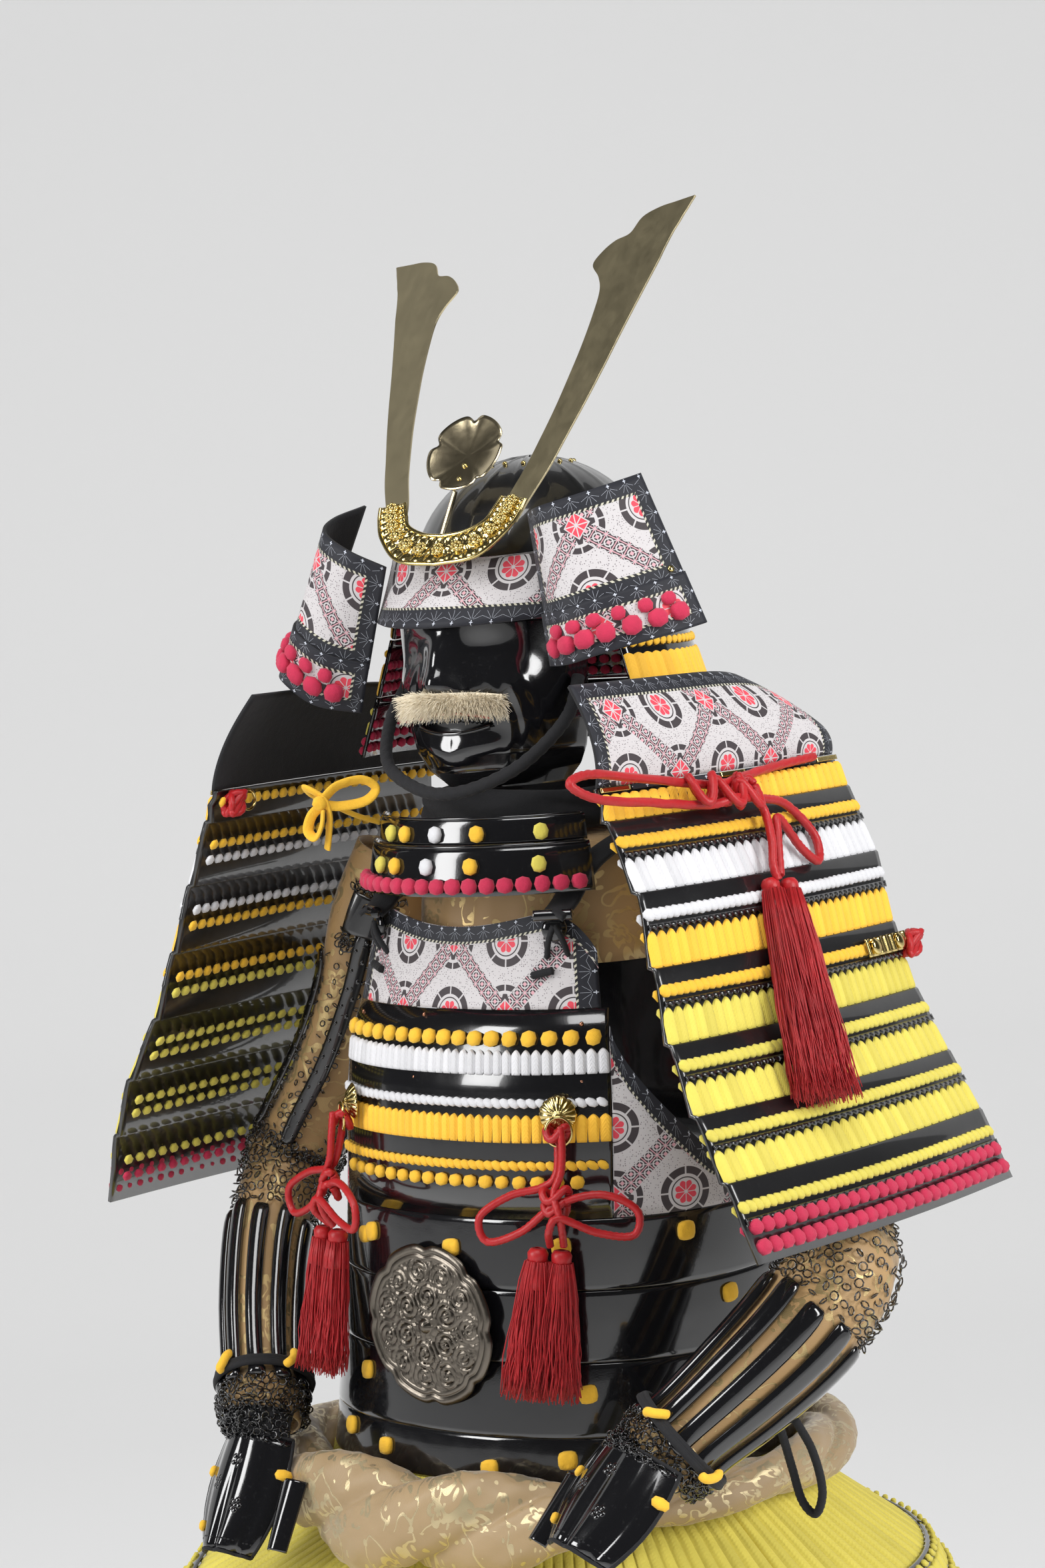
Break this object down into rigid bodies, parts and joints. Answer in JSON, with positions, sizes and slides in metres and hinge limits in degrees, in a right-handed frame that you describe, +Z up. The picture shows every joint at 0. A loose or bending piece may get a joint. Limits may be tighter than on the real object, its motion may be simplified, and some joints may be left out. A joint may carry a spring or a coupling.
{
  "type": "samurai armour",
  "caption": "Laced plate armour as worn: horned helmet, face mask, throat guard, cuirass with tassels, shoulder guards, armoured sleeves, sash and flared skirt",
  "frame": {"origin": "on the body axis, level with the tops of the shoulders, where the wearer's shoulders carry the armour", "axes": "+Z up, -Y the wearer's front, +X the wearer's left"},
  "size_m": [0.7672, 0.6314, 1.2489],
  "materials": {
    "lacquer": "black lacquer, glossy",
    "black_cloth": "matt black cloth",
    "print": "printed leather, pale ground with dark wheels and red flowers",
    "lacing": "braided lacing in yellow, white and crimson over black plates",
    "red_cord": "twisted red silk cord",
    "yellow_cord": "flat yellow ribbon",
    "brass": "brushed brass sheet",
    "gilt": "polished gilt openwork",
    "bronze": "dark cast relief, worn bright",
    "brocade": "tan and gold brocade",
    "fur": "short cream fur"
  },
  "bodies": {
    "root": {"back_plate": "lacquer", "belly_hoop_1": "lacquer", "belly_hoop_2": "lacquer", "belly_hoop_3": "lacquer", "belly_hoop_4": "lacquer", "chest_cord_left": "red_cord", "chest_cord_right": "red_cord", "chest_plate": "print", "chest_tassel_left": "red_cord", "chest_tassel_right": "red_cord", "chin_cord": "black_cloth", "crest_flower": "brass", "crest_stalk": "brass", "crown_plate_left": "print", "crown_plate_right": "print", "face_mask": "lacquer", "forearm_splints_left": "lacquer", "forearm_splints_right": "lacquer", "front_panel": "lacing", "hand_guard_left": "lacquer", "hand_guard_right": "lacquer", "helmet_bowl": "lacquer", "horn_holder": "gilt", "horn_left": "brass", "horn_right": "brass", "moustache": "fur", "neck_guard_1": "lacing", "neck_guard_2": "lacing", "neck_guard_3": "lacing", "neck_ribbon": "yellow_cord", "neck_wrap": "black_cloth", "plaque": "bronze", "rosette_left": "gilt", "rosette_right": "gilt", "sash": "brocade", "shoulder_guard_left": "lacing", "shoulder_guard_right": "lacing", "shoulder_strap_left": "black_cloth", "shoulder_strap_right": "black_cloth", "side_guard_left": "print", "side_guard_right": "print", "skirt_panel_1": "lacing", "skirt_panel_2": "lacing", "skirt_panel_3": "lacing", "skirt_panel_4": "lacing", "skirt_panel_5": "lacing", "skirt_panel_6": "lacing", "skirt_panel_7": "lacing", "sleeve_left": "brocade", "sleeve_right": "brocade", "sode_cord": "red_cord", "sode_tassel": "red_cord", "throat_lame_lower": "lacing", "throat_lame_upper": "lacing", "thumb_guard_left": "lacquer", "thumb_guard_right": "lacquer", "turn_back_left": "print", "turn_back_right": "print", "visor": "print", "yoke": "brocade"}
  },
  "joints": []
}
